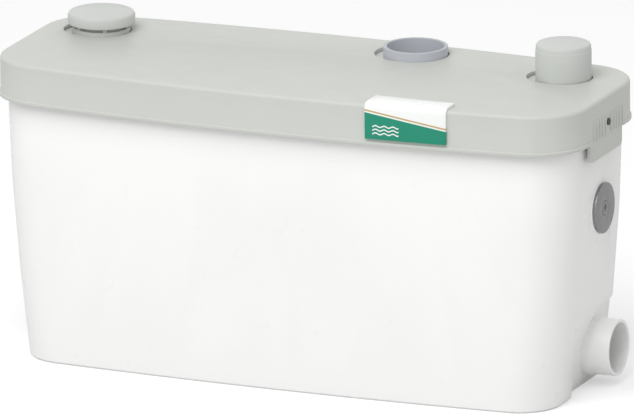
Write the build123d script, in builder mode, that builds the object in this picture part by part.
from build123d import *
from math import cos, radians, sin, sqrt
import os

# A slim macerator toilet pump: a white tapered tank, a carrier lid that hangs the motor,
# the cutter and the pump inside it, and a grey cover with the pipe necks through its top.
# Sizes are in millimetres. X runs along the unit, Y towards the wall, Z up, and the
# origin is on the floor under the middle of the tank.

overrun = 2.0
seat_gap = 0.3
slip_gap = 0.15
running_gap = 0.05

# Cover: plan outline with bowed long sides and rounded corners
cover_length = 440.0
cover_end_depth = 142.0
cover_front_bow = 15.0
cover_back_bow = 12.0
cover_corner_radius = 40.0
cover_rim_height = 188.0
cover_top_height = 216.5
cover_wall = 2.4
cover_edge_radius = 2.6
cover_bead_width = 1.0
cover_bead_height = 2.5
cover_slot_play = 6.5
cover_slot_slack = 0.6
cover_slot_gap = 0.4
cover_tab_width = 58.0
cover_tab_y = -1.5
cover_tab_drop = 13.5
cover_tab_corner = 4.0
grip_rib_pitch = 5.2
grip_rib_width = 1.4
grip_rib_depth = 0.9
grip_rib_height = 14.5
grip_rib_rise = 0.5
grip_rib_count = 11
cover_stand_width = 3.0
cover_stand_reach = 7.0
cover_stand_front_shares = (-0.55, 0.0, 0.52)
cover_stand_back_shares = (-0.3, 0.36, 0.68)

# Tank: inset of its rim behind the cover, and the curved taper down to the floor
tank_height = 190.0
tank_inset = 5.2
tank_wall = 3.0
tank_levels = 4
tank_taper_power = 1.64
tank_base_length = 399.6
tank_base_end_depth = 131.0
tank_base_front_bow = 7.5
tank_base_back_bow = 9.0
tank_base_corner = 31.0
tank_base_edge = 1.5

# Pocket and spigot of each low side inlet
pocket_front = -18.5
pocket_height = 60.5
pocket_corner = 48.5
pocket_depth = 7.0
inlet_y = 29.5
inlet_height = 26.5
inlet_radius = 20.0
inlet_wall = 2.2
inlet_tip = 216.5
inlet_boss_radius = 22.5
inlet_boss_face = 186.0
inlet_root = 190.0
inlet_shoulder = 0.6
inlet_shoulder_face = 200.0

# Flap seats pushed into the side inlets from inside
flap_seat_gap = 0.2
flap_seat_wall = 2.0
flap_seat_length = 14.0
flap_seat_flange = 2.5
flap_radius = 17.0
flap_thickness = 2.4
flap_arm_width = 10.0
flap_pivot_rise = 20.0
flap_pivot_out = 3.4
flap_pin_radius = 1.5
flap_knuckle_radius = 3.0
flap_ear_thickness = 2.5
flap_ear_gap = 0.4
flap_ear_half = 2.6

# Toilet inlet on the back wall
wc_height = 80.0
wc_socket_radius = 55.6
wc_socket_wall = 4.4
wc_socket_depth = 17.0
wc_socket_reach = 97.0
wc_socket_root = 72.0
wc_bore_radius = 43.0
wc_spout_wall = 3.0
wc_seal_width = 5.0
wc_seal_depth = 2.2
wc_seal_setback = 0.2
wc_seal_from_mouth = 5.0

# Inspection plug high on the right side
plug_y = 6.0
plug_height = 133.5
plug_disc_radius = 18.0
plug_disc_thickness = 2.4
plug_boss_radius = 18.8
plug_boss_face = 213.6
plug_boss_root = 207.0
plug_hole_radius = 13.0
plug_bung_length = 11.0
plug_plate_radius = 10.5
plug_plate_thickness = 3.0
plug_screw_radius = 2.5
plug_screw_head_radius = 5.0
plug_screw_head_height = 1.4
plug_screw_end = 2.0
plug_socket_width = 4.6
plug_socket_depth = 1.1

# Rubber pads let into the floor of the tank
pad_length = 42.0
pad_width = 18.0
pad_depth = 1.6
pad_x = 150.0
pad_y = 42.0

# Carrier lid, its seal and its screws
gasket_thickness = 1.5
gasket_width = 2.4
gasket_setback = 0.3
plate_thickness = 3.0
plate_setback = 0.5
lid_boss_radius = 4.6
lid_boss_inset = 6.2
lid_boss_depth = 20.0
lid_pilot_depth = 16.0
lid_screw_radius = 1.6
lid_screw_head_radius = 3.6
lid_screw_head_height = 2.6
lid_screw_grip = 12.0
lid_screw_front_shares = (-0.78, -0.32, 0.3, 0.74)
lid_screw_back_shares = (-0.48, -0.02, 0.52)

# Vent neck, filter and vent cap, top left
vent_x = -177.0
vent_y = 35.0
vent_neck_radius = 20.4
vent_neck_wall = 2.6
vent_neck_top = 219.0
vent_cap_radius = 23.7
vent_cap_top = 230.0
vent_cap_thickness = 8.0
vent_cap_edge = 2.4
vent_cap_spigot_length = 11.0
vent_cap_spigot_wall = 2.0
vent_cap_rib_count = 6
vent_cap_rib_width = 3.0
vent_filter_thickness = 5.0
vent_filter_gap = 0.2
vent_filter_sides = 24
vent_ledge = 3.0

# Open top inlet, middle
top_inlet_x = 54.0
top_inlet_y = 54.0
top_inlet_radius = 22.7
top_inlet_bore = 20.1
top_inlet_top = 222.5
top_inlet_flange_width = 2.0
top_inlet_flange_thickness = 2.0
drip_radius = 18.4
drip_bore = 16.4
drip_length = 14.0

# Discharge neck and its cap, top right
outlet_x = 174.0
outlet_y = 33.0
outlet_radius = 17.0
outlet_wall = 3.0
outlet_top = 236.0
outlet_tail = 26.0
outlet_barb_height = 2.0
outlet_barb_depth = 0.7
outlet_barb_pitch = 6.0
outlet_barb_count = 2
outlet_cap_radius = 19.6
outlet_cap_bore = 17.85
outlet_cap_top = 241.5
outlet_cap_bottom = 206.0
outlet_cap_edge = 2.0
outlet_cap_step = 4.6
outlet_cap_step_depth = 0.35

# Motor: a sealed can let through the carrier lid
pump_x = -30.0
motor_radius = 46.0
motor_wall = 2.0
motor_top = 209.0
motor_flange_radius = 54.0
motor_flange_thickness = 3.0
motor_hole_gap = 0.5
motor_screw_count = 4
motor_screw_circle = 50.0
motor_screw_radius = 1.8
motor_screw_head_radius = 3.2
motor_screw_head_height = 2.4
shaft_radius = 5.0
shaft_top = 205.0
bearing_radius = 16.0
bearing_height = 10.0
bearing_seat_wall = 3.0
bearing_bottom = 134.0
stator_bottom = 150.0
stator_height = 32.0
stator_bore = 24.0
winding_height = 8.0
winding_inner = 27.0
winding_outer = 40.0
rotor_gap = 0.6

# Seal plate under the motor
seal_plate_bottom = 122.0
seal_plate_thickness = 6.0
seal_radius = 11.0
seal_height = 8.0
seal_lip = 2.0
shaft_hole_gap = 1.5

# Macerator basket with its slots and the port from the toilet inlet
basket_radius = 54.0
basket_wall = 2.0
basket_floor = 2.0
basket_port_radius = 38.0
basket_slot_count = 18
basket_slot_width = 6.0
basket_slot_height = 28.0
basket_slot_levels = 2
basket_slot_pitch = 34.0
basket_slot_start = 42.0
basket_lug_radius = 4.5
basket_lug_height = 9.0
stack_angles = (-90.0, 170.0, 10.0)
spout_gap = 1.5

# Cutter on the shaft
cutter_hub_radius = 15.0
cutter_hub_bottom = 42.0
cutter_hub_height = 10.0
blade_reach = 46.0
blade_width = 14.0
blade_thickness = 2.5
blade_tip_height = 16.0
blade_tip_thickness = 3.0

# Pump: scroll casing, impeller and suction cover
volute_bottom = 10.0
volute_wall = 3.0
volute_inner = 32.0
volute_throat = 21.0
volute_passage = 20.0
volute_steps = 8
volute_duct = 36.0
volute_ear_radius = 5.5
volute_ear_circle = 59.0
volute_ear_angles = (10.0, 170.0, 232.0)
pump_outlet_radius = 11.5
pump_outlet_bore = 9.5
pump_outlet_tip = 60.0
impeller_radius = 29.0
impeller_plate = 2.5
impeller_hub_radius = 9.0
impeller_hub_height = 8.5
impeller_top_gap = 1.5
impeller_vane_count = 6
impeller_vane_height = 12.0
impeller_vane_width = 3.0
impeller_vane_inner = 11.0
impeller_vane_sweep = 42.0
impeller_nut_width = 13.0
impeller_nut_height = 5.0
suction_thickness = 3.0
suction_eye_radius = 14.0
suction_leg_radius = 3.5
volute_screw_radius = 1.8
volute_screw_head_radius = 3.4
volute_screw_head_height = 2.0
volute_nut_height = 3.0

# Check valve between the hose and the discharge neck
valve_radius = 22.0
valve_wall = 2.5
valve_seat_height = 124.0
valve_seat_thickness = 3.0
valve_collar_length = 12.0
valve_barb_length = 16.0
valve_flap_radius = 14.2
valve_flap_thickness = 2.4
valve_pivot_offset = 16.2
valve_pivot_rise = 3.6
valve_knuckle_radius = 2.6
valve_pin_radius = 1.2
valve_flap_arm = 9.0
valve_lug_thickness = 3.0
valve_lug_half = 2.0

# Rubber hose from the pump to the check valve, with its two clamps
hose_wall = 3.0
hose_lap = 15.0
hose_ways = ((84.0, -39.0, 28.0), (112.0, -24.0, 44.0), (140.0, -4.0, 62.0), (164.0, 20.0, 82.0))
clamp_width = 9.0
clamp_thickness = 1.2
clamp_screw_radius = 3.0
clamp_screw_length = 14.0

# Electrics well moulded into the carrier lid
well_low_x = -168.0
well_high_x = -96.0
well_low_y = -58.0
well_high_y = 10.0
well_bottom = 160.0
well_wall = 2.5
switch_x = -147.0
switch_y = -36.0
switch_half = 14.0
switch_wall = 2.0
switch_cup_height = 6.0
switch_top_height = 7.0
switch_port_radius = 4.0
switch_port_bore = 1.5
switch_port_drop = 8.0
plunger_radius = 2.6
plunger_half = 9.0
plunger_foot = 1.5
plunger_travel = 2.0
plunger_stem = 5.5
membrane_thickness = 1.2
microswitch_length = 20.0
microswitch_width = 7.0
microswitch_height = 7.0
bridge_leg = 3.0
bell_radius = 10.0
bell_wall = 1.8
bell_bottom = 22.0
bell_notch = 8.0
capacitor_x = -114.5
capacitor_y = -25.0
capacitor_radius = 13.5
capacitor_length = 54.0
capacitor_tab_width = 6.3
capacitor_tab_height = 7.0
capacitor_tab_thickness = 0.8
capacitor_tab_spread = 6.0
cradle_thickness = 4.0
cradle_spread = 15.0
terminal_x = -147.0
terminal_y = -4.5
terminal_length = 30.0
terminal_width = 16.0
terminal_height = 13.0
terminal_ways = 3
terminal_hole = 4.0
terminal_hole_depth = 6.0
lead_radius = 3.0
lead_bend = 9.0
mains_lead_y = -1.0
lead_y = -10.0
lead_socket_radius = 4.0
lead_socket_length = 4.0
lead_height = 199.0

# Cable gland at the back, where the mains cable leaves
gland_x = -140.0
gland_height = 204.0
gland_radius = 7.0
gland_bore = 3.8
gland_front = 58.0
gland_tip = 90.0
gland_hex_width = 17.0
gland_hex_length = 5.5
gland_nut_length = 7.0
gland_post_face = 64.0
gland_post_thickness = 4.0
gland_post_width = 22.0
gland_post_top = 213.0
gland_notch_gap = 0.8

# Cover lock: a screw through the grip and its nut behind an open-topped lug on the lid
lock_y = 1.8
lock_height = 197.0
lock_head_radius = 2.4
lock_head_length = 1.8
lock_head_sink = 0.8
lock_hole_gap = 0.3
lock_shank_radius = 1.5
lock_slit_width = 1.2
lock_slit_length = 5.0
lock_slit_y = -1.8
lock_lug_face = 210.0
lock_lug_thickness = 3.0
lock_lug_width = 14.0
lock_lug_rise = 6.0
lock_nut_width = 4.8
lock_nut_thickness = 2.4

# Label plate folded over the front edge of the cover
label_low_x = 74.0
label_high_x = 133.0
label_thickness = 2.0
label_bottom_gap = 2.0
label_back = 20.0

# Levels, lengths and radii that follow from the sizes above
plate_bottom = tank_height + gasket_thickness
plate_top = plate_bottom + plate_thickness
cover_inside_top = cover_top_height - cover_wall
half_cover = cover_length / 2
tank_rim_length = cover_length - 2 * tank_inset
tank_rim_depth = cover_end_depth - 2 * tank_inset
tank_rim_corner = cover_corner_radius - tank_inset
seal_plate_top = seal_plate_bottom + seal_plate_thickness
volute_ceiling = volute_bottom + volute_passage
basket_bottom = volute_ceiling + volute_wall
well_floor = well_bottom + well_wall
suction_bottom = volute_bottom - suction_thickness
impeller_top = volute_ceiling - impeller_top_gap
shaft_bottom = impeller_top - impeller_hub_height - impeller_nut_height
outlet_y_pump = -(volute_inner + volute_throat / 2)
outlet_height_pump = volute_bottom + pump_outlet_radius


def bow_at(x, bow):
    """How far a bowed long side of the cover stands out at x."""
    radius = (half_cover**2 + bow**2) / (2 * bow)
    return bow - radius + sqrt(radius**2 - x**2)


def outline(length, end_depth, front_bow, back_bow, corner, inset=0.0):
    """Draws a plan outline in the active sketch: bowed long sides and rounded corners."""
    half_x = length / 2 - inset
    half_y = end_depth / 2 - inset
    with BuildLine() as edge:
        ThreePointArc((-half_x, -half_y), (0, -half_y - front_bow), (half_x, -half_y))
        Line((half_x, -half_y), (half_x, half_y))
        ThreePointArc((half_x, half_y), (0, half_y + back_bow), (-half_x, half_y))
        Line((-half_x, half_y), (-half_x, -half_y))
    make_face(edge.edges())
    fillet(vertices(), radius=corner - inset)


def cover_outline(inset=0.0):
    """The cover's plan outline, drawn that far inside its outer face."""
    outline(cover_length, cover_end_depth, cover_front_bow, cover_back_bow, cover_corner_radius, inset)


def rim_outline(inset=0.0):
    """The tank rim's plan outline, drawn that far inside its outer face."""
    cover_outline(tank_inset + inset)


def tank_length_at(height):
    """The tank's length at a height: it widens fast near the floor and slower above."""
    left = max(0.0, 1 - height / tank_height)
    return tank_rim_length - (tank_rim_length - tank_base_length) * left**tank_taper_power


def tank_section(height, inset):
    """Draws the tank's plan outline at a height, that far inside its skin."""
    share = height / tank_height
    outline(
        tank_length_at(height),
        tank_base_end_depth + share * (tank_rim_depth - tank_base_end_depth),
        tank_base_front_bow + share * (cover_front_bow - tank_base_front_bow),
        tank_base_back_bow + share * (cover_back_bow - tank_base_back_bow),
        tank_base_corner + share * (tank_rim_corner - tank_base_corner),
        inset,
    )


def tank_walls(inset, bottom, top, levels, edge=0.0):
    """Lofts the tank's curved taper between two heights, that far inside its skin."""
    heights = [bottom + edge + (top - bottom - edge) * level / (levels - 1) for level in range(levels)]
    sections = []
    if edge > 0:
        with BuildSketch(Plane.XY.offset(bottom)) as foot:
            tank_section(bottom, inset + edge)
        sections.append(foot.sketch)
    for height in heights:
        with BuildSketch(Plane.XY.offset(height)) as section:
            tank_section(height, inset)
        sections.append(section.sketch)
    loft(sections, ruled=True)


def turned(points, origin, axis, radial, mode=Mode.ADD):
    """Revolves a closed profile of (radius, distance along the axis) points."""
    flat = Plane(origin, x_dir=radial, z_dir=Vector(*radial).cross(Vector(*axis)))
    with BuildSketch(flat) as profile:
        with BuildLine():
            Polyline(*points, close=True)
        make_face()
    revolve(profile.sketch, axis=Axis(origin, axis), mode=mode)


def upright(points, x, y=0.0, mode=Mode.ADD):
    """Revolves a profile of (radius, height) points about a vertical axis."""
    turned(points, (x, y, 0), (0, 0, 1), (1, 0, 0), mode)


def ring(outer, inner, low, high):
    """The profile of a plain ring."""
    return [(inner, low), (outer, low), (outer, high), (inner, high)]


def rounded(radius, top, edge):
    """Profile points of a rounded upper edge, in two flats."""
    return [
        (radius - edge * (1 - cos(radians(angle))), top - edge * (1 - sin(radians(angle))))
        for angle in (0, 45, 90)
    ]


def disc(radius, low, high):
    """The profile of a plain solid cylinder."""
    return ring(radius, 0, low, high)


def block(low, high, mode=Mode.ADD):
    """A plain box between two opposite corners."""
    with Locations(Vector(*low)):
        Box(*[end - start for start, end in zip(low, high)], align=(Align.MIN,) * 3, mode=mode)


def hexagon(width, origin, axis, radial, length, mode=Mode.ADD):
    """A six-sided prism that wide across its flats, along an axis."""
    with BuildSketch(Plane(origin, x_dir=radial, z_dir=axis)) as section:
        RegularPolygon(radius=width / 2, side_count=6, major_radius=False)
    extrude(section.sketch, amount=length, mode=mode)


def bolt(x, y, shank, head, tip, seat, head_height):
    """A six-sided screw that stands upright: shank between tip and seat, head beyond the seat."""
    low, high = sorted((tip, seat))
    hexagon(2 * shank, (x, y, low), (0, 0, 1), (1, 0, 0), high - low)
    way = 1 if seat > tip else -1
    hexagon(2 * head, (x, y, seat), (0, 0, way), (1, 0, 0), head_height)


def bolt_hole(x, y, shank, low, high):
    """A clear hole for such a screw."""
    hexagon(2 * (shank + slip_gap), (x, y, low), (0, 0, 1), (1, 0, 0), high - low, Mode.SUBTRACT)


def polar(radius, angle, x=0.0, y=0.0):
    """The plan point at a radius and an angle round a centre."""
    return (x + radius * cos(radians(angle)), y + radius * sin(radians(angle)))


def save(piece, name):
    """Labels a finished piece and writes it as its own file."""
    piece.label = name
    export_step(piece, f"parts/{name}.step")


os.makedirs("parts", exist_ok=True)

# The lid screws stand just inside the rim, in front and behind.
screw_line = cover_end_depth / 2 - tank_inset - lid_boss_inset
lid_screw_places = [
    (share * half_cover, -screw_line - bow_at(share * half_cover, cover_front_bow))
    for share in lid_screw_front_shares
] + [
    (share * half_cover, screw_line + bow_at(share * half_cover, cover_back_bow))
    for share in lid_screw_back_shares
]


side_slope = (tank_length_at(pocket_height) - tank_base_length) / 2 / pocket_height


def pockets(growth):
    """The cut round both low side inlets: a big rounded corner with a sloping floor."""
    far = cover_end_depth
    floor_x = tank_base_length / 2 - pocket_depth - growth
    with BuildPart() as cut:
        with BuildSketch(Plane((floor_x, 0, 0), x_dir=(0, 1, 0), z_dir=(1, 0, -side_slope))):
            with BuildLine():
                Polyline(
                    (pocket_front - growth, -far),
                    (far, -far),
                    (far, pocket_height + growth),
                    (pocket_front - growth, pocket_height + growth),
                    close=True,
                )
            make_face()
            fillet(vertices().sort_by(Axis.Y)[-2:].sort_by(Axis.X)[0], radius=pocket_corner + growth)
        extrude(amount=far)
        mirror(about=Plane.YZ)
    return cut.part


def cover_block(inset, bottom, top, edge):
    """A solid of the cover's outline with its top edge rounded."""
    with BuildPart() as solid:
        with BuildSketch(Plane.XY.offset(bottom)):
            cover_outline(inset)
        extrude(amount=top - bottom)
        fillet(faces().sort_by(Axis.Z)[-1].edges(), radius=edge)
    return solid.part


pocket_skin = pockets(0.0)
pocket_core = pockets(tank_wall)
cover_envelope = cover_block(0.0, cover_rim_height, cover_top_height, cover_edge_radius)

# Inside of the tank: the tapered walls less their thickness and less the pockets
with BuildPart() as tank_inside:
    tank_walls(tank_wall, tank_wall, tank_height + overrun, tank_levels - 1)
    add(pocket_core, mode=Mode.SUBTRACT)

wc_centre = (pump_x, 0, wc_height)
wc_socket_outer = wc_socket_radius + wc_socket_wall
socket_floor = wc_socket_reach - wc_socket_depth
seal_groove_high = wc_socket_reach - wc_seal_from_mouth
seal_groove_low = seal_groove_high - wc_seal_width
seal_groove_outer = wc_socket_radius + wc_seal_setback + wc_seal_depth
inlet_bore = inlet_radius - inlet_wall

# Tank: one white moulding with side inlets, a hole for the toilet socket, plug boss and screw bosses
with BuildPart() as tank:
    tank_walls(0.0, 0.0, tank_height, tank_levels, tank_base_edge)
    add(pocket_skin, mode=Mode.SUBTRACT)
    add(tank_inside.part, mode=Mode.SUBTRACT)
    for way in (1, -1):
        centre = (0, inlet_y, inlet_height)
        turned(disc(inlet_radius, inlet_root, inlet_tip), centre, (way, 0, 0), (0, 0, 1))
        turned(disc(inlet_radius + inlet_shoulder, inlet_root, inlet_shoulder_face), centre, (way, 0, 0),
               (0, 0, 1))
        turned(disc(inlet_boss_radius, inlet_boss_face, inlet_root + inlet_wall), centre, (way, 0, 0),
               (0, 0, 1))
        turned(disc(inlet_bore, inlet_boss_face - overrun, inlet_tip + overrun), centre, (way, 0, 0),
               (0, 0, 1), Mode.SUBTRACT)
    plug_centre = (0, plug_y, plug_height)
    turned(disc(plug_boss_radius, plug_boss_root, plug_boss_face), plug_centre, (1, 0, 0), (0, 0, 1))
    turned(disc(plug_boss_radius, plug_boss_face, plug_boss_face + overrun), plug_centre, (1, 0, 0),
           (0, 0, 1), Mode.SUBTRACT)
    turned(disc(plug_hole_radius, plug_boss_root - overrun, plug_boss_face), plug_centre, (1, 0, 0),
           (0, 0, 1), Mode.SUBTRACT)
    for x, y in lid_screw_places:
        upright(disc(lid_boss_radius, tank_height - lid_boss_depth, tank_height), x, y)
    for x, y in lid_screw_places:
        bolt_hole(x, y, lid_screw_radius, tank_height - lid_pilot_depth, tank_height)
    turned(disc(wc_socket_outer + slip_gap, 0, wc_socket_reach), wc_centre, (0, 1, 0), (0, 0, 1),
           Mode.SUBTRACT)
    for x in (-pad_x, pad_x):
        for y in (-pad_y, pad_y):
            block((x - pad_length / 2, y - pad_width / 2, 0),
                  (x + pad_length / 2, y + pad_width / 2, pad_depth), Mode.SUBTRACT)
save(tank.part, "tank")

# Rubber pads: flush with the floor of the tank
with BuildPart() as rubber_pads:
    for x in (-pad_x, pad_x):
        for y in (-pad_y, pad_y):
            block((x - pad_length / 2, y - pad_width / 2, 0),
                  (x + pad_length / 2, y + pad_width / 2, pad_depth))
save(rubber_pads.part, "rubber_pads")

# Seal ring of the toilet socket, in its groove
# Toilet socket: a collar let into the back wall, with a spout that reaches in to the basket
with BuildPart() as toilet_socket:
    turned(disc(wc_socket_outer, wc_socket_root, wc_socket_reach), wc_centre, (0, 1, 0), (0, 0, 1))
    turned(disc(wc_bore_radius + wc_spout_wall, 0, socket_floor), wc_centre, (0, 1, 0), (0, 0, 1))
    turned(disc(wc_bore_radius, 0, wc_socket_reach), wc_centre, (0, 1, 0), (0, 0, 1), Mode.SUBTRACT)
    turned(disc(wc_socket_radius, socket_floor, wc_socket_reach), wc_centre, (0, 1, 0), (0, 0, 1),
           Mode.SUBTRACT)
    turned(disc(seal_groove_outer, seal_groove_low, seal_groove_high), wc_centre, (0, 1, 0), (0, 0, 1),
           Mode.SUBTRACT)
    upright(disc(basket_radius + spout_gap, tank_wall, tank_height), pump_x, 0, Mode.SUBTRACT)
save(toilet_socket.part, "toilet_socket")

with BuildPart() as wc_seal:
    turned(ring(seal_groove_outer, wc_socket_radius + wc_seal_setback, seal_groove_low, seal_groove_high),
           wc_centre, (0, 1, 0), (0, 0, 1))
save(wc_seal.part, "wc_seal")

# Flap seats, flaps and pins of the side inlets
flange_face = inlet_boss_face - flap_seat_flange
pivot_x = flange_face - flap_pivot_out
pivot_z = inlet_height + flap_pivot_rise
ear_inner = flap_arm_width / 2 + flap_ear_gap
ear_outer = ear_inner + flap_ear_thickness
seat_radius = inlet_bore - flap_seat_gap
inlet_centre = (0, inlet_y, inlet_height)
inlet_pivot = (pivot_x, inlet_y, pivot_z)
with BuildPart() as flap_seats:
    turned(disc(inlet_radius, flange_face, inlet_boss_face), inlet_centre, (1, 0, 0), (0, 0, 1))
    turned(disc(seat_radius, inlet_boss_face, inlet_boss_face + flap_seat_length), inlet_centre, (1, 0, 0),
           (0, 0, 1))
    block((flange_face, inlet_y - ear_outer, inlet_height),
          (inlet_boss_face, inlet_y + ear_outer, pivot_z + flap_knuckle_radius))
    for low, high in ((-ear_outer, -ear_inner), (ear_inner, ear_outer)):
        block((pivot_x - flap_ear_half, inlet_y + low, pivot_z - flap_ear_half),
              (flange_face, inlet_y + high, pivot_z + flap_ear_half))
    turned(disc(seat_radius - flap_seat_wall, flange_face, inlet_boss_face + flap_seat_length),
           inlet_centre, (1, 0, 0), (0, 0, 1), Mode.SUBTRACT)
    turned(disc(flap_pin_radius, -ear_outer, ear_outer), inlet_pivot, (0, 1, 0), (0, 0, 1), Mode.SUBTRACT)
    mirror(about=Plane.YZ)
save(flap_seats.part, "flap_seats")

with BuildPart() as inlet_flap:
    turned(disc(flap_radius, flange_face - flap_thickness, flange_face), inlet_centre, (1, 0, 0), (0, 0, 1))
    block((flange_face - flap_thickness, inlet_y - flap_arm_width / 2, inlet_height),
          (flange_face, inlet_y + flap_arm_width / 2, pivot_z))
    turned(disc(flap_knuckle_radius, -flap_arm_width / 2, flap_arm_width / 2), inlet_pivot, (0, 1, 0),
           (0, 0, 1))
    turned(disc(flap_pin_radius + running_gap, -flap_arm_width / 2, flap_arm_width / 2), inlet_pivot,
           (0, 1, 0), (0, 0, 1), Mode.SUBTRACT)
save(inlet_flap.part, "inlet_flap_right")

with BuildPart() as inlet_flap_left:
    add(inlet_flap.part.mirror(Plane.YZ))
save(inlet_flap_left.part, "inlet_flap_left")

# Steel pins of the inlet flaps
with BuildPart() as flap_pins:
    for way in (1, -1):
        turned(disc(flap_pin_radius, -ear_outer, ear_outer), (way * pivot_x, inlet_y, pivot_z), (0, 1, 0),
               (0, 0, 1))
save(flap_pins.part, "flap_pins")

# Inspection plug: metal disc outside, rubber bung in the hole, plate inside, one screw
plug_disc_face = plug_boss_face + plug_disc_thickness
bung_end = plug_boss_face - plug_bung_length
bung_radius = plug_hole_radius - seat_gap
plate_end = bung_end - plug_plate_thickness
with BuildPart() as plug_disc:
    turned(disc(plug_disc_radius, plug_boss_face, plug_disc_face), plug_centre, (1, 0, 0), (0, 0, 1))
    turned(disc(plug_screw_head_radius + slip_gap, plug_disc_face - plug_screw_head_height, plug_disc_face),
           plug_centre, (1, 0, 0), (0, 0, 1), Mode.SUBTRACT)
    turned(disc(plug_screw_radius + slip_gap, plug_boss_face, plug_disc_face), plug_centre, (1, 0, 0),
           (0, 0, 1), Mode.SUBTRACT)
save(plug_disc.part, "plug_disc")

# Bung that swells when the screw is tightened
with BuildPart() as plug_bung:
    turned(ring(bung_radius, plug_screw_radius + slip_gap, bung_end, plug_boss_face), plug_centre,
           (1, 0, 0), (0, 0, 1))
save(plug_bung.part, "plug_bung")

with BuildPart() as plug_plate:
    hexagon(2 * plug_plate_radius, (plate_end, plug_y, plug_height), (1, 0, 0), (0, 0, 1),
            plug_plate_thickness)
    turned(disc(plug_screw_radius + slip_gap, plate_end, bung_end), plug_centre, (1, 0, 0), (0, 0, 1),
           Mode.SUBTRACT)
save(plug_plate.part, "plug_plate")

with BuildPart() as plug_screw:
    turned(disc(plug_screw_radius, plate_end - plug_screw_end, plug_disc_face - plug_screw_head_height),
           plug_centre, (1, 0, 0), (0, 0, 1))
    turned(disc(plug_screw_head_radius, plug_disc_face - plug_screw_head_height, plug_disc_face),
           plug_centre, (1, 0, 0), (0, 0, 1))
    hexagon(plug_socket_width, (plug_disc_face - plug_socket_depth, plug_y, plug_height), (1, 0, 0),
            (0, 0, 1), plug_socket_depth, Mode.SUBTRACT)
save(plug_screw.part, "plug_screw")

# Carrier lid: plate, pipe necks, electrics well, gland post and lock lug in one moulding
vent_bore = vent_neck_radius - vent_neck_wall
outlet_bore = outlet_radius - outlet_wall
motor_hole = motor_radius + motor_hole_gap
with BuildPart() as carrier_lid:
    with BuildSketch(Plane.XY.offset(plate_bottom)):
        rim_outline(plate_setback)
    extrude(amount=plate_thickness)
    block((well_low_x, well_low_y, well_bottom), (well_high_x, well_high_y, plate_bottom))
    upright(disc(vent_neck_radius, plate_bottom, vent_neck_top), vent_x, vent_y)
    upright(disc(outlet_radius, plate_bottom - outlet_tail, outlet_top), outlet_x, outlet_y)
    for step in range(outlet_barb_count):
        high = outlet_top - outlet_barb_height - step * outlet_barb_pitch
        upright([(outlet_radius - outlet_wall / 2, high - outlet_barb_height),
                 (outlet_radius + outlet_barb_depth, high - outlet_barb_height), (outlet_radius, high),
                 (outlet_radius - outlet_wall / 2, high)], outlet_x, outlet_y)
    block((gland_x - gland_post_width / 2, gland_post_face, plate_bottom),
          (gland_x + gland_post_width / 2, gland_post_face + gland_post_thickness, gland_post_top))
    block((lock_lug_face - lock_lug_thickness, lock_y - lock_lug_width / 2, plate_bottom),
          (lock_lug_face, lock_y + lock_lug_width / 2, lock_height + lock_lug_rise))
    block((well_low_x + well_wall, well_low_y + well_wall, well_floor),
          (well_high_x - well_wall, well_high_y - well_wall, plate_top), Mode.SUBTRACT)
    upright(disc(vent_bore, plate_top, vent_neck_top), vent_x, vent_y, Mode.SUBTRACT)
    upright(disc(vent_bore - vent_ledge, plate_bottom, plate_top), vent_x, vent_y, Mode.SUBTRACT)
    upright(disc(top_inlet_radius + slip_gap, plate_bottom, plate_top), top_inlet_x, top_inlet_y,
            Mode.SUBTRACT)
    upright(disc(outlet_bore, plate_bottom - outlet_tail, outlet_top), outlet_x, outlet_y, Mode.SUBTRACT)
    upright(disc(motor_hole, plate_bottom, plate_top), pump_x, 0, Mode.SUBTRACT)
    for step in range(motor_screw_count):
        x, y = polar(motor_screw_circle, 360 * (step + 1 / 2) / motor_screw_count, pump_x)
        bolt_hole(x, y, motor_screw_radius, plate_bottom, plate_top)
    for x, y in lid_screw_places:
        bolt_hole(x, y, lid_screw_radius, plate_bottom, plate_top)
    upright(disc(switch_port_radius, well_bottom, well_floor), switch_x, switch_y, Mode.SUBTRACT)
    turned(disc(gland_radius, gland_post_face, gland_post_face + gland_post_thickness),
           (gland_x, 0, gland_height), (0, 1, 0), (0, 0, 1), Mode.SUBTRACT)
    block((lock_lug_face - lock_lug_thickness, lock_y - lock_shank_radius - lock_hole_gap,
           lock_height - lock_shank_radius - lock_hole_gap),
          (lock_lug_face, lock_y + lock_shank_radius + lock_hole_gap, lock_height + lock_lug_rise),
          Mode.SUBTRACT)
save(carrier_lid.part, "carrier_lid")

# Top inlet: a pipe socket with a flange, let into the plate, and a drip tube under it
flange_radius = top_inlet_radius + top_inlet_flange_width
with BuildPart() as top_inlet_socket:
    upright(disc(top_inlet_radius, plate_bottom, top_inlet_top), top_inlet_x, top_inlet_y)
    upright(disc(flange_radius, plate_top, plate_top + top_inlet_flange_thickness), top_inlet_x,
            top_inlet_y)
    upright(disc(drip_radius, plate_bottom - drip_length, plate_bottom), top_inlet_x, top_inlet_y)
    upright(disc(top_inlet_bore, plate_top, top_inlet_top), top_inlet_x, top_inlet_y, Mode.SUBTRACT)
    upright(disc(drip_bore, plate_bottom - drip_length, plate_top), top_inlet_x, top_inlet_y, Mode.SUBTRACT)
save(top_inlet_socket.part, "top_inlet_socket")

# Gasket between the tank's rim and the plate
with BuildPart() as lid_gasket:
    with BuildSketch(Plane.XY.offset(tank_height)):
        rim_outline(gasket_setback)
    extrude(amount=gasket_thickness)
    with BuildSketch(Plane.XY.offset(tank_height)):
        rim_outline(gasket_setback + gasket_width)
    extrude(amount=gasket_thickness, mode=Mode.SUBTRACT)
save(lid_gasket.part, "lid_gasket")

with BuildPart() as lid_screws:
    for x, y in lid_screw_places:
        bolt(x, y, lid_screw_radius, lid_screw_head_radius, tank_height - lid_screw_grip, plate_top,
             lid_screw_head_height)
save(lid_screws.part, "lid_screws")

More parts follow.
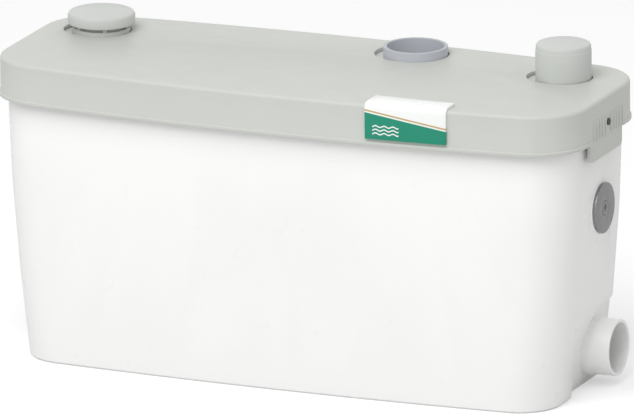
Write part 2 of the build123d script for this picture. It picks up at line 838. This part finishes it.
with BuildPart() as vent_filter:
    with BuildSketch(Plane.XY.offset(plate_top)):
        with Locations((vent_x, vent_y)):
            RegularPolygon(radius=vent_bore - vent_filter_gap, side_count=vent_filter_sides)
    extrude(amount=vent_filter_thickness)
save(vent_filter.part, "vent_filter")

# Vent cap: a disc standing on ribs over the neck, so that air passes under it
cap_bottom = vent_cap_top - vent_cap_thickness
spigot_radius = vent_bore - seat_gap
with BuildPart() as vent_cap:
    upright([(0, cap_bottom), (vent_cap_radius, cap_bottom),
             *rounded(vent_cap_radius, vent_cap_top, vent_cap_edge), (0, vent_cap_top)], vent_x, vent_y)
    upright(ring(spigot_radius, spigot_radius - vent_cap_spigot_wall, cap_bottom - vent_cap_spigot_length,
                 cap_bottom), vent_x, vent_y)
    for step in range(vent_cap_rib_count):
        with BuildSketch(Plane.XY.offset(vent_neck_top)):
            with Locations((vent_x, vent_y)):
                with PolarLocations(spigot_radius, 1, start_angle=360 * step / vent_cap_rib_count):
                    Rectangle(2 * vent_neck_wall, vent_cap_rib_width)
        extrude(amount=cap_bottom - vent_neck_top)
save(vent_cap.part, "vent_cap")

# Discharge cap pushed over the barbed neck
with BuildPart() as outlet_cap:
    step_radius = outlet_cap_radius - outlet_cap_step_depth
    upright([(outlet_cap_bore, outlet_cap_bottom), (outlet_cap_radius, outlet_cap_bottom),
             (outlet_cap_radius, outlet_cap_top - outlet_cap_step),
             (step_radius, outlet_cap_top - outlet_cap_step),
             *rounded(step_radius, outlet_cap_top, outlet_cap_edge), (0, outlet_cap_top),
             (0, outlet_top), (outlet_cap_bore, outlet_top)], outlet_x, outlet_y)
save(outlet_cap.part, "outlet_cap")

# Motor can with a flange under the plate and another on the seal plate
flange_top = plate_bottom
flange_low = flange_top - motor_flange_thickness
can_inner = motor_radius - motor_wall
seat_outer = bearing_radius + bearing_seat_wall
can_ceiling = motor_top - motor_wall
upper_bearing = shaft_top - bearing_height
stack_circle = (motor_radius + motor_flange_radius) / 2
with BuildPart() as motor_can:
    upright([(can_inner, seal_plate_top), (motor_flange_radius, seal_plate_top),
             (motor_flange_radius, seal_plate_top + motor_flange_thickness),
             (motor_radius, seal_plate_top + motor_flange_thickness), (motor_radius, flange_low),
             (motor_flange_radius, flange_low), (motor_flange_radius, flange_top),
             (motor_radius, flange_top),
             (motor_radius, motor_top), (0, motor_top), (0, can_ceiling), (bearing_radius, can_ceiling),
             (bearing_radius, upper_bearing), (seat_outer, upper_bearing), (seat_outer, can_ceiling),
             (can_inner, can_ceiling)], pump_x)
    for step in range(motor_screw_count):
        x, y = polar(motor_screw_circle, 360 * (step + 1 / 2) / motor_screw_count, pump_x)
        bolt_hole(x, y, motor_screw_radius, flange_low, flange_top)
    for angle in stack_angles:
        x, y = polar(stack_circle, angle, pump_x)
        bolt_hole(x, y, motor_screw_radius, seal_plate_top, seal_plate_top + motor_flange_thickness)
    lead_socket_x = pump_x - motor_radius
    turned(disc(lead_socket_radius, 0, lead_socket_length + motor_wall / 2),
           (lead_socket_x + motor_wall / 2, lead_y, lead_height), (-1, 0, 0), (0, 0, 1))
save(motor_can.part, "motor_can")

with BuildPart() as motor_screws:
    for step in range(motor_screw_count):
        x, y = polar(motor_screw_circle, 360 * (step + 1 / 2) / motor_screw_count, pump_x)
        bolt(x, y, motor_screw_radius, motor_screw_head_radius, flange_low, plate_top,
             motor_screw_head_height)
save(motor_screws.part, "motor_screws")

# Seal plate: closes the motor, holds the lower bearing and the shaft seal
seal_floor = seal_plate_bottom + seal_lip
bearing_top = bearing_bottom + bearing_height
with BuildPart() as seal_plate:
    upright([(shaft_radius + shaft_hole_gap, seal_plate_bottom), (motor_flange_radius, seal_plate_bottom),
             (motor_flange_radius, seal_plate_top), (seat_outer, seal_plate_top), (seat_outer, bearing_top),
             (bearing_radius, bearing_top), (bearing_radius, bearing_bottom), (seal_radius, bearing_bottom),
             (seal_radius, seal_floor), (shaft_radius + shaft_hole_gap, seal_floor)], pump_x)
    for angle in stack_angles:
        x, y = polar(stack_circle, angle, pump_x)
        bolt_hole(x, y, motor_screw_radius, seal_plate_bottom, seal_plate_top)
save(seal_plate.part, "seal_plate")

with BuildPart() as shaft_seal:
    upright(ring(seal_radius, shaft_radius + running_gap, seal_floor, seal_floor + seal_height), pump_x)
save(shaft_seal.part, "shaft_seal")

# Sealed ball bearings, each as one ring
with BuildPart() as bearings:
    for low in (bearing_bottom, upper_bearing):
        high = low + bearing_height
        upright(ring(bearing_radius, shaft_radius + running_gap, low, high), pump_x)
save(bearings.part, "bearings")

stator_top = stator_bottom + stator_height
with BuildPart() as stator_core:
    upright(ring(can_inner, stator_bore, stator_bottom, stator_top), pump_x)
save(stator_core.part, "stator_core")

with BuildPart() as windings:
    for low in (stator_bottom - winding_height, stator_top):
        upright(ring(winding_outer, winding_inner, low, low + winding_height), pump_x)
save(windings.part, "windings")

# Rotor, shaft and cutter turn together
rotor_radius = stator_bore - rotor_gap
with BuildPart() as rotor_core:
    upright(ring(rotor_radius, shaft_radius, stator_bottom, stator_top), pump_x)
save(rotor_core.part, "rotor_core")

with BuildPart() as shaft:
    upright(disc(shaft_radius, shaft_bottom, shaft_top), pump_x)
save(shaft.part, "shaft")

cutter_hub_top = cutter_hub_bottom + cutter_hub_height
with BuildPart() as cutter_hub:
    upright(ring(cutter_hub_radius, shaft_radius, cutter_hub_bottom, cutter_hub_top), pump_x)
save(cutter_hub.part, "cutter_hub")

# Cutter blades: a flat bar under the hub with both ends turned up along the basket
with BuildPart() as cutter_blades:
    low = cutter_hub_bottom - blade_thickness
    block((pump_x - blade_reach, -blade_width / 2, low),
          (pump_x + blade_reach, blade_width / 2, cutter_hub_bottom))
    for way in (1, -1):
        edge_in = pump_x + way * (blade_reach - blade_tip_thickness)
        edge_out = pump_x + way * blade_reach
        block((min(edge_in, edge_out), -blade_width / 2, cutter_hub_bottom),
              (max(edge_in, edge_out), blade_width / 2, low + blade_tip_height))
    upright(disc(shaft_radius, low, cutter_hub_bottom), pump_x, 0, Mode.SUBTRACT)
save(cutter_blades.part, "cutter_blades")

# Macerator basket: slotted cup round the cutter, open to the toilet inlet
basket_inner = basket_radius - basket_wall
basket_top = seal_plate_bottom
slot_step = 360 / basket_slot_count
port_half_angle = 50
with BuildPart() as basket:
    upright([(shaft_radius + shaft_hole_gap, basket_bottom), (basket_radius, basket_bottom),
             (basket_radius, basket_top), (basket_inner, basket_top),
             (basket_inner, basket_bottom + basket_floor),
             (shaft_radius + shaft_hole_gap, basket_bottom + basket_floor)], pump_x)
    for angle in stack_angles:
        x, y = polar(stack_circle, angle, pump_x)
        upright(disc(basket_lug_radius, basket_top - basket_lug_height, basket_top), x, y)
        bolt_hole(x, y, motor_screw_radius, basket_top - basket_lug_height, basket_top)
    for step in range(basket_slot_count):
        angle = slot_step * (step + 1 / 2)
        if abs(angle - 90) > port_half_angle:
            spoke = Plane((pump_x, 0, 0), x_dir=(*polar(1, angle + 90), 0), z_dir=(*polar(1, angle), 0))
            with BuildSketch(spoke.offset(basket_inner - overrun)):
                for level in range(basket_slot_levels):
                    middle = basket_slot_start + basket_slot_height / 2 + level * basket_slot_pitch
                    with Locations((0, middle)):
                        Rectangle(basket_slot_width, basket_slot_height)
            extrude(amount=basket_wall + 2 * overrun, mode=Mode.SUBTRACT)
    turned(disc(basket_port_radius, 0, basket_radius + overrun), wc_centre, (0, 1, 0), (0, 0, 1),
           Mode.SUBTRACT)
    for angle in volute_ear_angles:
        x, y = polar(volute_ear_circle, angle, pump_x)
        with BuildSketch(Plane.XY.offset(basket_bottom)):
            with Locations((x, y)):
                Circle(volute_ear_radius)
            with BuildLine():
                Polyline(
                    polar(basket_inner, angle - slot_step / 3, pump_x),
                    polar(volute_ear_circle, angle - slot_step / 3, pump_x),
                    polar(volute_ear_circle, angle + slot_step / 3, pump_x),
                    polar(basket_inner, angle + slot_step / 3, pump_x),
                    close=True,
                )
            make_face()
        extrude(amount=basket_floor)
        bolt_hole(x, y, volute_screw_radius, basket_bottom, basket_bottom + basket_floor)
save(basket.part, "macerator_basket")

# Three long screws hold basket, seal plate and motor together.
with BuildPart() as stack_screws:
    for angle in stack_angles:
        x, y = polar(stack_circle, angle, pump_x)
        top = seal_plate_top + motor_flange_thickness
        bolt(x, y, motor_screw_radius, motor_screw_head_radius, basket_top - basket_lug_height, top,
             motor_screw_head_height)
save(stack_screws.part, "stack_screws")


def scroll(growth):
    """Draws the pump's widening scroll in the active sketch, with its straight way out."""
    near = -volute_inner + growth
    far = -volute_inner - volute_throat - growth
    points = [
        polar(volute_inner + growth + volute_throat * step / volute_steps, 360 * step / volute_steps - 90,
              pump_x)
        for step in range(volute_steps + 1)
    ]
    with BuildLine() as spiral:
        for start, middle, end in zip(points[::2], points[1::2], points[2::2]):
            ThreePointArc(start, middle, end)
        Line(points[-1], points[0])
    make_face(spiral.edges())
    with BuildLine() as duct:
        Polyline((pump_x, near), (pump_x + volute_duct, near), (pump_x + volute_duct, far), (pump_x, far),
                 close=True)
    make_face(duct.edges())


def ears():
    """Draws the three arms that carry the pump's long screws."""
    for angle in volute_ear_angles:
        x, y = polar(volute_ear_circle, angle, pump_x)
        with Locations((x, y)):
            Circle(volute_ear_radius)
        with Locations(((x + pump_x) / 2, y / 2)):
            Rectangle(volute_ear_circle, 2 * volute_ear_radius, rotation=angle)


# Scroll casing with its barbless way out towards the hose
with BuildPart() as pump_volute:
    with BuildSketch(Plane.XY.offset(volute_bottom)):
        scroll(volute_wall)
        ears()
    extrude(amount=volute_passage + volute_wall)
    with BuildSketch(Plane.XY.offset(volute_bottom)):
        scroll(0.0)
    extrude(amount=volute_passage, mode=Mode.SUBTRACT)
    upright(disc(shaft_radius + shaft_hole_gap, volute_ceiling, basket_bottom), pump_x, 0, Mode.SUBTRACT)
    duct_start = pump_x + volute_duct
    outlet_axis = (duct_start, outlet_y_pump, outlet_height_pump)
    block((duct_start - volute_wall, outlet_y_pump - volute_throat / 2, volute_bottom),
          (duct_start, outlet_y_pump + volute_throat / 2, basket_bottom))
    turned(disc(pump_outlet_radius, -volute_wall, pump_outlet_tip - duct_start), outlet_axis, (1, 0, 0),
           (0, 0, 1))
    turned(disc(pump_outlet_bore, -volute_wall, pump_outlet_tip - duct_start), outlet_axis, (1, 0, 0),
           (0, 0, 1), Mode.SUBTRACT)
    for angle in volute_ear_angles:
        x, y = polar(volute_ear_circle, angle, pump_x)
        bolt_hole(x, y, volute_screw_radius, volute_bottom, basket_bottom)
save(pump_volute.part, "pump_volute")

# Suction cover with its eye and the short legs that keep it off the tank floor
with BuildPart() as suction_cover:
    with BuildSketch(Plane.XY.offset(suction_bottom)):
        scroll(volute_wall)
        ears()
        with Locations((pump_x, 0)):
            Circle(suction_eye_radius, mode=Mode.SUBTRACT)
    extrude(amount=suction_thickness)
    for angle in volute_ear_angles:
        x, y = polar((suction_eye_radius + volute_inner) / 2, angle, pump_x)
        upright(disc(suction_leg_radius, tank_wall + seat_gap, suction_bottom), x, y)
        x, y = polar(volute_ear_circle, angle, pump_x)
        bolt_hole(x, y, volute_screw_radius, suction_bottom, volute_bottom)
save(suction_cover.part, "suction_cover")

# Screws through both, with their nuts on the basket's ears
with BuildPart() as volute_screws:
    nut_bottom = basket_bottom + basket_floor
    for angle in volute_ear_angles:
        x, y = polar(volute_ear_circle, angle, pump_x)
        bolt(x, y, volute_screw_radius, volute_screw_head_radius, nut_bottom, suction_bottom,
             volute_screw_head_height)
        hexagon(2 * volute_screw_head_radius, (x, y, nut_bottom), (0, 0, 1), (1, 0, 0), volute_nut_height)
save(volute_screws.part, "volute_screws")

# Impeller: plate, hub and raked vanes, facing the eye
with BuildPart() as impeller:
    plate_low = impeller_top - impeller_plate
    upright(disc(impeller_radius, plate_low, impeller_top), pump_x)
    upright(disc(impeller_hub_radius, impeller_top - impeller_hub_height, impeller_top), pump_x)
    vane_middle = (impeller_vane_inner + impeller_radius - impeller_vane_width) / 2
    vane_length = impeller_radius - impeller_vane_width - impeller_vane_inner
    with BuildSketch(Plane.XY.offset(plate_low - impeller_vane_height)):
        for step in range(impeller_vane_count):
            angle = 360 * step / impeller_vane_count
            with Locations(polar(vane_middle, angle, pump_x)):
                Rectangle(vane_length, impeller_vane_width, rotation=angle - impeller_vane_sweep)
    extrude(amount=impeller_vane_height)
    upright(disc(shaft_radius, impeller_top - impeller_hub_height, impeller_top), pump_x, 0, Mode.SUBTRACT)
save(impeller.part, "impeller")

with BuildPart() as impeller_nut:
    hexagon(impeller_nut_width, (pump_x, 0, shaft_bottom), (0, 0, 1), (1, 0, 0), impeller_nut_height)
    upright(disc(shaft_radius, shaft_bottom, shaft_bottom + impeller_nut_height), pump_x, 0, Mode.SUBTRACT)
save(impeller_nut.part, "impeller_nut")

# Check valve: seat, chamber and the collar that slips over the discharge neck's tail
valve_inner = valve_radius - valve_wall
seat_bottom = valve_seat_height - valve_seat_thickness
barb_bottom = seat_bottom - valve_barb_length
tail_end = plate_bottom - outlet_tail
collar_inner = outlet_radius + slip_gap
valve_pivot = (outlet_x, outlet_y + valve_pivot_offset, valve_seat_height + valve_pivot_rise)
lug_inner = valve_flap_arm / 2 + flap_ear_gap
lug_outer = lug_inner + valve_lug_thickness
with BuildPart() as valve_body:
    upright([(pump_outlet_bore, barb_bottom), (pump_outlet_radius, barb_bottom),
             (pump_outlet_radius, seat_bottom),
             (valve_radius, seat_bottom), (valve_radius, tail_end + valve_collar_length),
             (collar_inner, tail_end + valve_collar_length), (collar_inner, tail_end),
             (outlet_bore, tail_end),
             (outlet_bore, tail_end - valve_wall), (valve_inner, tail_end - valve_wall),
             (valve_inner, valve_seat_height), (pump_outlet_bore, valve_seat_height)], outlet_x, outlet_y)
    for low, high in ((-lug_outer, -lug_inner), (lug_inner, lug_outer)):
        block((outlet_x + low, valve_pivot[1] - valve_lug_half, valve_seat_height),
              (outlet_x + high, outlet_y + valve_inner, valve_pivot[2] + valve_lug_half))
    turned(disc(valve_pin_radius, -lug_outer, lug_outer), valve_pivot, (1, 0, 0), (0, 0, 1), Mode.SUBTRACT)
save(valve_body.part, "valve_body")

with BuildPart() as valve_pin:
    turned(disc(valve_pin_radius, -lug_outer, lug_outer), valve_pivot, (1, 0, 0), (0, 0, 1))
save(valve_pin.part, "valve_pin")

with BuildPart() as valve_flap:
    upright(disc(valve_flap_radius, valve_seat_height, valve_seat_height + valve_flap_thickness), outlet_x,
            outlet_y)
    block((outlet_x - valve_flap_arm / 2, outlet_y, valve_seat_height),
          (outlet_x + valve_flap_arm / 2, valve_pivot[1], valve_seat_height + valve_flap_thickness))
    turned(disc(valve_knuckle_radius, -valve_flap_arm / 2, valve_flap_arm / 2), valve_pivot, (1, 0, 0),
           (0, 0, 1))
    turned(disc(valve_pin_radius + running_gap, -valve_flap_arm / 2, valve_flap_arm / 2), valve_pivot,
           (1, 0, 0), (0, 0, 1), Mode.SUBTRACT)
save(valve_flap.part, "valve_flap")

# Hose from the pump's way out up to the check valve
hose_outer = pump_outlet_radius + hose_wall
hose_start = (pump_outlet_tip - hose_lap, outlet_y_pump, outlet_height_pump)
hose_bend_start = (pump_outlet_tip, outlet_y_pump, outlet_height_pump)
hose_bend_end = (outlet_x, outlet_y, barb_bottom)
hose_end = (outlet_x, outlet_y, barb_bottom + hose_lap)
with BuildPart() as discharge_hose:
    with BuildLine() as hose_path:
        Polyline(hose_start, hose_bend_start, *hose_ways, hose_bend_end, hose_end)
    with BuildSketch(Plane(hose_start, x_dir=(0, 1, 0), z_dir=(1, 0, 0))):
        Circle(hose_outer)
        Circle(pump_outlet_radius, mode=Mode.SUBTRACT)
    sweep(path=hose_path.wires()[0], transition=Transition.RIGHT)
save(discharge_hose.part, "discharge_hose")

with BuildPart() as hose_clamps:
    clamp_ring = ring(hose_outer + clamp_thickness, hose_outer, -clamp_width / 2, clamp_width / 2)
    low_clamp = (pump_outlet_tip - hose_lap / 2, outlet_y_pump, outlet_height_pump)
    high_clamp = (outlet_x, outlet_y, barb_bottom + hose_lap - clamp_width / 2)
    screw_offset = hose_outer + clamp_thickness / 2 + clamp_screw_radius
    turned(clamp_ring, low_clamp, (1, 0, 0), (0, 0, 1))
    low_screw = (low_clamp[0], low_clamp[1] - clamp_screw_length / 2, low_clamp[2] + screw_offset)
    hexagon(2 * clamp_screw_radius, low_screw, (0, 1, 0), (1, 0, 0), clamp_screw_length)
    turned(disc(hose_outer, -clamp_width / 2, clamp_width / 2), low_clamp, (1, 0, 0), (0, 0, 1),
           Mode.SUBTRACT)
    turned(clamp_ring, high_clamp, (0, 0, 1), (1, 0, 0))
    high_screw = (high_clamp[0] - screw_offset, high_clamp[1] - clamp_screw_length / 2, high_clamp[2])
    hexagon(2 * clamp_screw_radius, high_screw, (0, 1, 0), (0, 0, 1), clamp_screw_length)
    turned(disc(hose_outer, -clamp_width / 2, clamp_width / 2), high_clamp, (0, 0, 1), (1, 0, 0),
           Mode.SUBTRACT)
save(hose_clamps.part, "hose_clamps")

# Pressure switch: square cup with its port, membrane, upper shell with a bridge, and plunger
cup_bottom = well_floor
cup_top = cup_bottom + switch_cup_height
membrane_top = cup_top + membrane_thickness
shell_top = membrane_top + switch_top_height
plunger_top = shell_top + plunger_stem
microswitch_bottom = plunger_top + plunger_travel
port_bottom = well_bottom - switch_port_drop
with BuildPart() as switch_cup:
    block((switch_x - switch_half, switch_y - switch_half, cup_bottom),
          (switch_x + switch_half, switch_y + switch_half, cup_top))
    block((switch_x - switch_half + switch_wall, switch_y - switch_half + switch_wall,
           cup_bottom + switch_wall),
          (switch_x + switch_half - switch_wall, switch_y + switch_half - switch_wall, cup_top),
          Mode.SUBTRACT)
    upright(disc(switch_port_radius, port_bottom, cup_bottom + switch_wall), switch_x, switch_y)
    upright(disc(switch_port_bore, port_bottom, cup_bottom + switch_wall), switch_x, switch_y,
            Mode.SUBTRACT)
save(switch_cup.part, "switch_cup")

with BuildPart() as membrane:
    block((switch_x - switch_half, switch_y - switch_half, cup_top),
          (switch_x + switch_half, switch_y + switch_half, membrane_top))
save(membrane.part, "membrane")

with BuildPart() as pressure_switch:
    block((switch_x - switch_half, switch_y - switch_half, membrane_top),
          (switch_x + switch_half, switch_y + switch_half, shell_top))
    block((switch_x - switch_half + switch_wall, switch_y - switch_half + switch_wall, membrane_top),
          (switch_x + switch_half - switch_wall, switch_y + switch_half - switch_wall,
           shell_top - switch_wall),
          Mode.SUBTRACT)
    upright(disc(plunger_radius + running_gap, shell_top - switch_wall, shell_top), switch_x, switch_y,
            Mode.SUBTRACT)
    for way in (1, -1):
        edge_in = switch_x + way * microswitch_length / 2
        edge_out = edge_in + way * bridge_leg
        block((min(edge_in, edge_out), switch_y - microswitch_width / 2, shell_top),
              (max(edge_in, edge_out), switch_y + microswitch_width / 2,
               microswitch_bottom + microswitch_height))
save(pressure_switch.part, "pressure_switch")

with BuildPart() as switch_plunger:
    block((switch_x - plunger_half, switch_y - plunger_half, membrane_top),
          (switch_x + plunger_half, switch_y + plunger_half, membrane_top + plunger_foot))
    upright(disc(plunger_radius, membrane_top + plunger_foot, plunger_top), switch_x, switch_y)
save(switch_plunger.part, "switch_plunger")

with BuildPart() as microswitch:
    block((switch_x - microswitch_length / 2, switch_y - microswitch_width / 2, microswitch_bottom),
          (switch_x + microswitch_length / 2, switch_y + microswitch_width / 2,
           microswitch_bottom + microswitch_height))
save(microswitch.part, "microswitch")

# Air bell that hangs into the water under the switch
with BuildPart() as pressure_bell:
    bell_inner = bell_radius - bell_wall
    upright([(bell_inner, bell_bottom), (bell_radius, bell_bottom), (bell_radius, well_bottom),
             (switch_port_radius, well_bottom), (switch_port_radius, well_bottom - bell_wall),
             (bell_inner, well_bottom - bell_wall)], switch_x, switch_y)
    block((switch_x - bell_wall, switch_y - bell_radius, bell_bottom),
          (switch_x + bell_wall, switch_y + bell_radius, bell_bottom + bell_notch), Mode.SUBTRACT)
save(pressure_bell.part, "pressure_bell")

# Run capacitor lying in two saddles, with its two tabs
capacitor_z = well_floor + capacitor_radius
capacitor_centre = (capacitor_x, capacitor_y, capacitor_z)
with BuildPart() as capacitor:
    turned(disc(capacitor_radius, -capacitor_length / 2, capacitor_length / 2), capacitor_centre,
           (0, 1, 0), (0, 0, 1))
    for way in (1, -1):
        tab_x = capacitor_x + way * capacitor_tab_spread
        tab_end = capacitor_y + capacitor_length / 2
        block((tab_x - capacitor_tab_thickness / 2, tab_end, capacitor_z - capacitor_tab_width / 2),
              (tab_x + capacitor_tab_thickness / 2, tab_end + capacitor_tab_height / 2,
               capacitor_z + capacitor_tab_width / 2))
save(capacitor.part, "capacitor")

with BuildPart() as capacitor_cradle:
    for way in (1, -1):
        middle = capacitor_y + way * cradle_spread
        block((capacitor_x - capacitor_radius, middle - cradle_thickness / 2, well_floor),
              (capacitor_x + capacitor_radius, middle + cradle_thickness / 2,
               well_floor + capacitor_radius / 2))
    turned(disc(capacitor_radius, -capacitor_length / 2, capacitor_length / 2), capacitor_centre, (0, 1, 0),
           (0, 0, 1), Mode.SUBTRACT)
save(capacitor_cradle.part, "capacitor_cradle")

with BuildPart() as terminal_block:
    terminal_top = well_floor + terminal_height
    block((terminal_x - terminal_length / 2, terminal_y - terminal_width / 2, well_floor),
          (terminal_x + terminal_length / 2, terminal_y + terminal_width / 2, terminal_top))
    for step in range(terminal_ways):
        x = terminal_x + (step - (terminal_ways - 1) / 2) * terminal_length / terminal_ways
        y = terminal_y + terminal_width / 4
        block((x - terminal_hole / 2, y - terminal_hole / 2, terminal_top - terminal_hole_depth),
              (x + terminal_hole / 2, y + terminal_hole / 2, terminal_top), Mode.SUBTRACT)
save(terminal_block.part, "terminal_block")

# Leads inside the lid: mains from the gland, and one on to the motor
motor_lead_end = lead_socket_x - lead_socket_length
with BuildPart() as mains_lead:
    start = (gland_x, gland_post_face, gland_height)
    with BuildLine() as mains_path:
        Polyline(start, (gland_x, mains_lead_y + lead_bend, gland_height),
                 (gland_x, mains_lead_y, gland_height - lead_bend), (gland_x, mains_lead_y, terminal_top))
    with BuildSketch(Plane(start, x_dir=(1, 0, 0), z_dir=(0, -1, 0))):
        Circle(lead_radius)
    sweep(path=mains_path.wires()[0], transition=Transition.RIGHT)
save(mains_lead.part, "mains_lead")

with BuildPart() as motor_lead:
    start = (motor_lead_end, lead_y, lead_height)
    lead_down_x = terminal_x - terminal_length / 4
    with BuildLine() as motor_path:
        Polyline(start, (lead_down_x + lead_bend, lead_y, lead_height),
                 (lead_down_x, lead_y, lead_height - lead_bend), (lead_down_x, lead_y, terminal_top))
    with BuildSketch(Plane(start, x_dir=(0, 1, 0), z_dir=(-1, 0, 0))):
        Circle(lead_radius)
    sweep(path=motor_path.wires()[0], transition=Transition.RIGHT)
save(motor_lead.part, "motor_lead")

# Cable gland through the post, with its clamping nut outside
gland_axis = (gland_x, 0, gland_height)
post_back = gland_post_face + gland_post_thickness
with BuildPart() as cable_gland:
    turned(disc(gland_radius, gland_front, gland_tip), gland_axis, (0, 1, 0), (0, 0, 1))
    hexagon(gland_hex_width, (gland_x, post_back, gland_height), (0, 1, 0), (1, 0, 0), gland_hex_length)
    hexagon(gland_hex_width, (gland_x, gland_tip - gland_nut_length, gland_height), (0, 1, 0), (1, 0, 0),
            gland_nut_length)
    turned(disc(gland_bore, gland_front, gland_tip), gland_axis, (0, 1, 0), (0, 0, 1), Mode.SUBTRACT)
save(cable_gland.part, "cable_gland")

# Cover: bowed shell with a bead, slotted pipe holes, ribbed grip, tab and lock hole
tab_low_y = cover_tab_y - cover_tab_width / 2
tab_high_y = cover_tab_y + cover_tab_width / 2
ports = (
    (vent_x, vent_y, vent_neck_radius),
    (top_inlet_x, top_inlet_y, top_inlet_radius),
    (outlet_x, outlet_y, outlet_cap_radius),
)
with BuildPart() as cover:
    with BuildSketch(Plane.XY.offset(cover_rim_height)):
        cover_outline(-cover_bead_width)
    extrude(amount=cover_bead_height)
    chamfer(faces().sort_by(Axis.Z)[-1].edges(), length=cover_bead_width / 2)
    block((half_cover, tab_low_y, cover_rim_height),
          (half_cover + overrun, tab_high_y, cover_rim_height + cover_bead_height), Mode.SUBTRACT)
    add(cover_envelope)
    with BuildSketch(Plane.XY.offset(cover_rim_height)):
        cover_outline(cover_wall)
    extrude(amount=cover_inside_top - cover_rim_height, mode=Mode.SUBTRACT)
    with BuildSketch(Plane.YZ.offset(half_cover - cover_wall)):
        with BuildLine():
            Polyline((tab_low_y, cover_rim_height), (tab_low_y, cover_rim_height - cover_tab_drop),
                     (tab_high_y, cover_rim_height - cover_tab_drop), (tab_high_y, cover_rim_height),
                     close=True)
        make_face()
        fillet(vertices().group_by(Axis.Y)[0], radius=cover_tab_corner)
    extrude(amount=cover_wall)
    for step in range(grip_rib_count):
        y = lock_y + (step - (grip_rib_count - 1) / 2) * grip_rib_pitch
        if y != lock_y:
            block((half_cover - cover_wall / 2, y - grip_rib_width / 2, cover_rim_height + grip_rib_rise),
                  (half_cover + grip_rib_depth, y + grip_rib_width / 2,
                   cover_rim_height + grip_rib_rise + grip_rib_height))
    for shares, way, bow in ((cover_stand_front_shares, -1, cover_front_bow),
                             (cover_stand_back_shares, 1, cover_back_bow)):
        for share in shares:
            x = share * half_cover
            wall_y = way * (cover_end_depth / 2 - cover_wall / 2 + bow_at(x, bow))
            inner_y = wall_y - way * (cover_wall / 2 + cover_stand_reach)
            block((x - cover_stand_width / 2, min(wall_y, inner_y), plate_top),
                  (x + cover_stand_width / 2, max(wall_y, inner_y), cover_inside_top))
    for x, y, radius in ports:
        with BuildSketch(Plane.XY.offset(cover_inside_top)):
            with Locations((x + (cover_slot_slack - cover_slot_play) / 2, y)):
                SlotCenterToCenter(cover_slot_play + cover_slot_slack, 2 * (radius + cover_slot_gap))
        extrude(amount=cover_wall, mode=Mode.SUBTRACT)
    notch = gland_radius + gland_notch_gap
    block((gland_x - notch, post_back, cover_rim_height), (gland_x + notch, gland_tip, gland_height),
          Mode.SUBTRACT)
    turned(disc(notch, post_back, gland_tip), gland_axis, (0, 1, 0), (0, 0, 1), Mode.SUBTRACT)
    turned(disc(lock_shank_radius + lock_hole_gap, half_cover - cover_wall, half_cover),
           (0, lock_y, lock_height), (1, 0, 0), (0, 0, 1), Mode.SUBTRACT)
    turned(disc(lock_head_radius + slip_gap, half_cover - lock_head_sink, half_cover + overrun),
           (0, lock_y, lock_height), (1, 0, 0), (0, 0, 1), Mode.SUBTRACT)
    block((half_cover - cover_wall, lock_slit_y - lock_slit_width / 2, cover_rim_height + grip_rib_rise),
          (half_cover, lock_slit_y + lock_slit_width / 2,
           cover_rim_height + grip_rib_rise + lock_slit_length),
          Mode.SUBTRACT)
save(cover.part, "cover")

# Label plate: follows the cover's front and folds back over its top edge
with BuildPart() as label_plate:
    label_bottom = cover_rim_height + cover_bead_height + label_bottom_gap
    with BuildSketch(Plane.XY.offset(label_bottom)):
        cover_outline(-label_thickness)
    extrude(amount=cover_top_height + label_thickness - label_bottom)
    fillet(faces().sort_by(Axis.Z)[-1].edges(), radius=cover_edge_radius + label_thickness)
    add(cover_envelope, mode=Mode.SUBTRACT)
    back_y = -(cover_end_depth / 2 + cover_front_bow) + label_back
    block((label_low_x, -cover_end_depth, label_bottom),
          (label_high_x, back_y, cover_top_height + label_thickness), Mode.INTERSECT)
save(label_plate.part, "label_plate")

# Lock screw and its nut
lock_axis = (0, lock_y, lock_height)
nut_face = lock_lug_face - lock_lug_thickness - seat_gap
head_face = half_cover - lock_head_sink
with BuildPart() as lock_screw:
    turned(disc(lock_shank_radius, nut_face - lock_nut_thickness, head_face), lock_axis, (1, 0, 0),
           (0, 0, 1))
    turned(disc(lock_head_radius, head_face, head_face + lock_head_length), lock_axis, (1, 0, 0), (0, 0, 1))
    block((head_face + lock_head_length / 2, lock_y - lock_slit_width / 4, lock_height - lock_head_radius),
          (head_face + lock_head_length, lock_y + lock_slit_width / 4, lock_height + lock_head_radius),
          Mode.SUBTRACT)
save(lock_screw.part, "lock_screw")

with BuildPart() as lock_nut:
    hexagon(lock_nut_width, (nut_face - lock_nut_thickness, lock_y, lock_height), (1, 0, 0), (0, 1, 0),
            lock_nut_thickness)
    turned(disc(lock_shank_radius, nut_face - lock_nut_thickness, nut_face), lock_axis, (1, 0, 0),
           (0, 0, 1), Mode.SUBTRACT)
save(lock_nut.part, "lock_nut")
